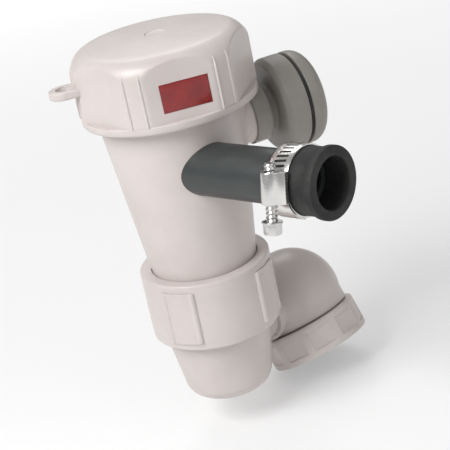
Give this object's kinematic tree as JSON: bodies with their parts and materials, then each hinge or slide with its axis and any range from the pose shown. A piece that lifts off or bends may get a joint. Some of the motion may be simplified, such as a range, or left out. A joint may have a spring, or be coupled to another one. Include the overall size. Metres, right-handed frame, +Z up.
{
  "type": "electric water pump",
  "caption": "Upright electric water pump with a screw cap over the motor, tapered body, side outlet with a worm clamp, ring nut, strainer bowl and a suction elbow with a union nut.",
  "frame": {"origin": "centre of the mouth of the tank union", "axes": "+Z up along the pump's own axis, +X along the outlet, +Y from the pump's axis towards the suction elbow"},
  "size_m": [0.1513, 0.1399, 0.2179],
  "materials": {
    "light_plastic": "moulded, fine satin",
    "dark_plastic": "moulded, fine matt",
    "black_plastic": "moulded, satin",
    "rubber": "matt rubber",
    "stainless": "rolled stainless",
    "motor_steel": "zinc plated",
    "magnet": "sintered ferrite",
    "copper": "bare copper",
    "brass": "turned brass",
    "carbon": "graphite",
    "red_insert": "glossy dark red"
  },
  "bodies": {
    "pump": {"pump_body": "light_plastic", "volute_casing": "light_plastic", "casing_o_ring": "rubber", "bulkhead": "light_plastic", "bulkhead_screws": "stainless", "shaft_seal": "rubber", "motor_can": "motor_steel", "motor_end_bell": "motor_steel", "field_magnets": "magnet", "brush_holder": "brass", "carbon_brushes": "carbon", "upper_bearing": "stainless", "lower_bearing": "stainless", "motor_screws": "stainless", "outlet_spigot": "black_plastic", "spigot_gasket": "rubber", "hose_cuff": "rubber", "clamp_band": "stainless", "clamp_housing": "stainless", "nut_snap_ring": "stainless", "bowl_gasket": "rubber", "strainer": "dark_plastic", "inlet_bowl": "light_plastic", "suction_elbow": "light_plastic", "elbow_o_ring": "rubber", "union_gasket": "rubber", "terminal_housing": "dark_plastic", "terminal_seal": "rubber", "terminal_block": "light_plastic", "terminal_screws": "brass", "cable_gland": "dark_plastic", "gland_bush": "rubber"},
    "rotor": {"armature": "motor_steel", "coil_heads": "copper", "commutator": "copper", "motor_shaft": "stainless", "impeller": "black_plastic", "impeller_nut": "brass"},
    "cap_ring": {"cap_seal": "rubber"},
    "cap": {"motor_cap": "light_plastic", "cap_window": "red_insert"},
    "ring_nut": {"ring_nut": "light_plastic"},
    "union_nut": {"union_nut": "light_plastic"},
    "clamp_screw": {"clamp_screw": "stainless"},
    "terminal_cover": {"terminal_cover": "dark_plastic"},
    "gland_nut": {"gland_nut": "dark_plastic"}
  },
  "joints": [
    {"name": "rotor_spin", "type": "hinge", "parent": "pump", "child": "rotor", "pos_m": [-0.01403, -0.062, 0], "axis": [0, 0, 1], "continuous": true},
    {"name": "cap_lift", "type": "slide", "parent": "pump", "child": "cap_ring", "axis": [0, 0, 1], "range_m": [0, 0.0081]},
    {"name": "cap_turn", "type": "hinge", "parent": "cap_ring", "child": "cap", "pos_m": [-0.01403, -0.062, 0], "axis": [0, 0, 1], "range_deg": [0, 720]},
    {"name": "ring_nut_turn", "type": "hinge", "parent": "pump", "child": "ring_nut", "pos_m": [-0.01403, -0.062, 0], "axis": [0, 0, 1], "continuous": true},
    {"name": "union_nut_turn", "type": "hinge", "parent": "pump", "child": "union_nut", "pos_m": [0, 0, 0], "axis": [0.4226, 0, -0.9063], "continuous": true},
    {"name": "clamp_screw_turn", "type": "hinge", "parent": "pump", "child": "clamp_screw", "pos_m": [0.07227, -0.09444, 0.14543], "axis": [0, -0.2079, -0.9781], "continuous": true},
    {"name": "terminal_cover_turn", "type": "hinge", "parent": "pump", "child": "terminal_cover", "pos_m": [-0.01403, -0.062, 0.15109], "axis": [0.4226, 0.9063, 0], "continuous": true},
    {"name": "gland_nut_turn", "type": "hinge", "parent": "pump", "child": "gland_nut", "pos_m": [0.01059, -0.00921, 0.15109], "axis": [-0.9063, 0.4226, 0], "continuous": true}
  ],
  "couplings": [
    {"joint": "cap_lift", "follows": "cap_turn", "m_per_rad": 0.00063662}
  ]
}
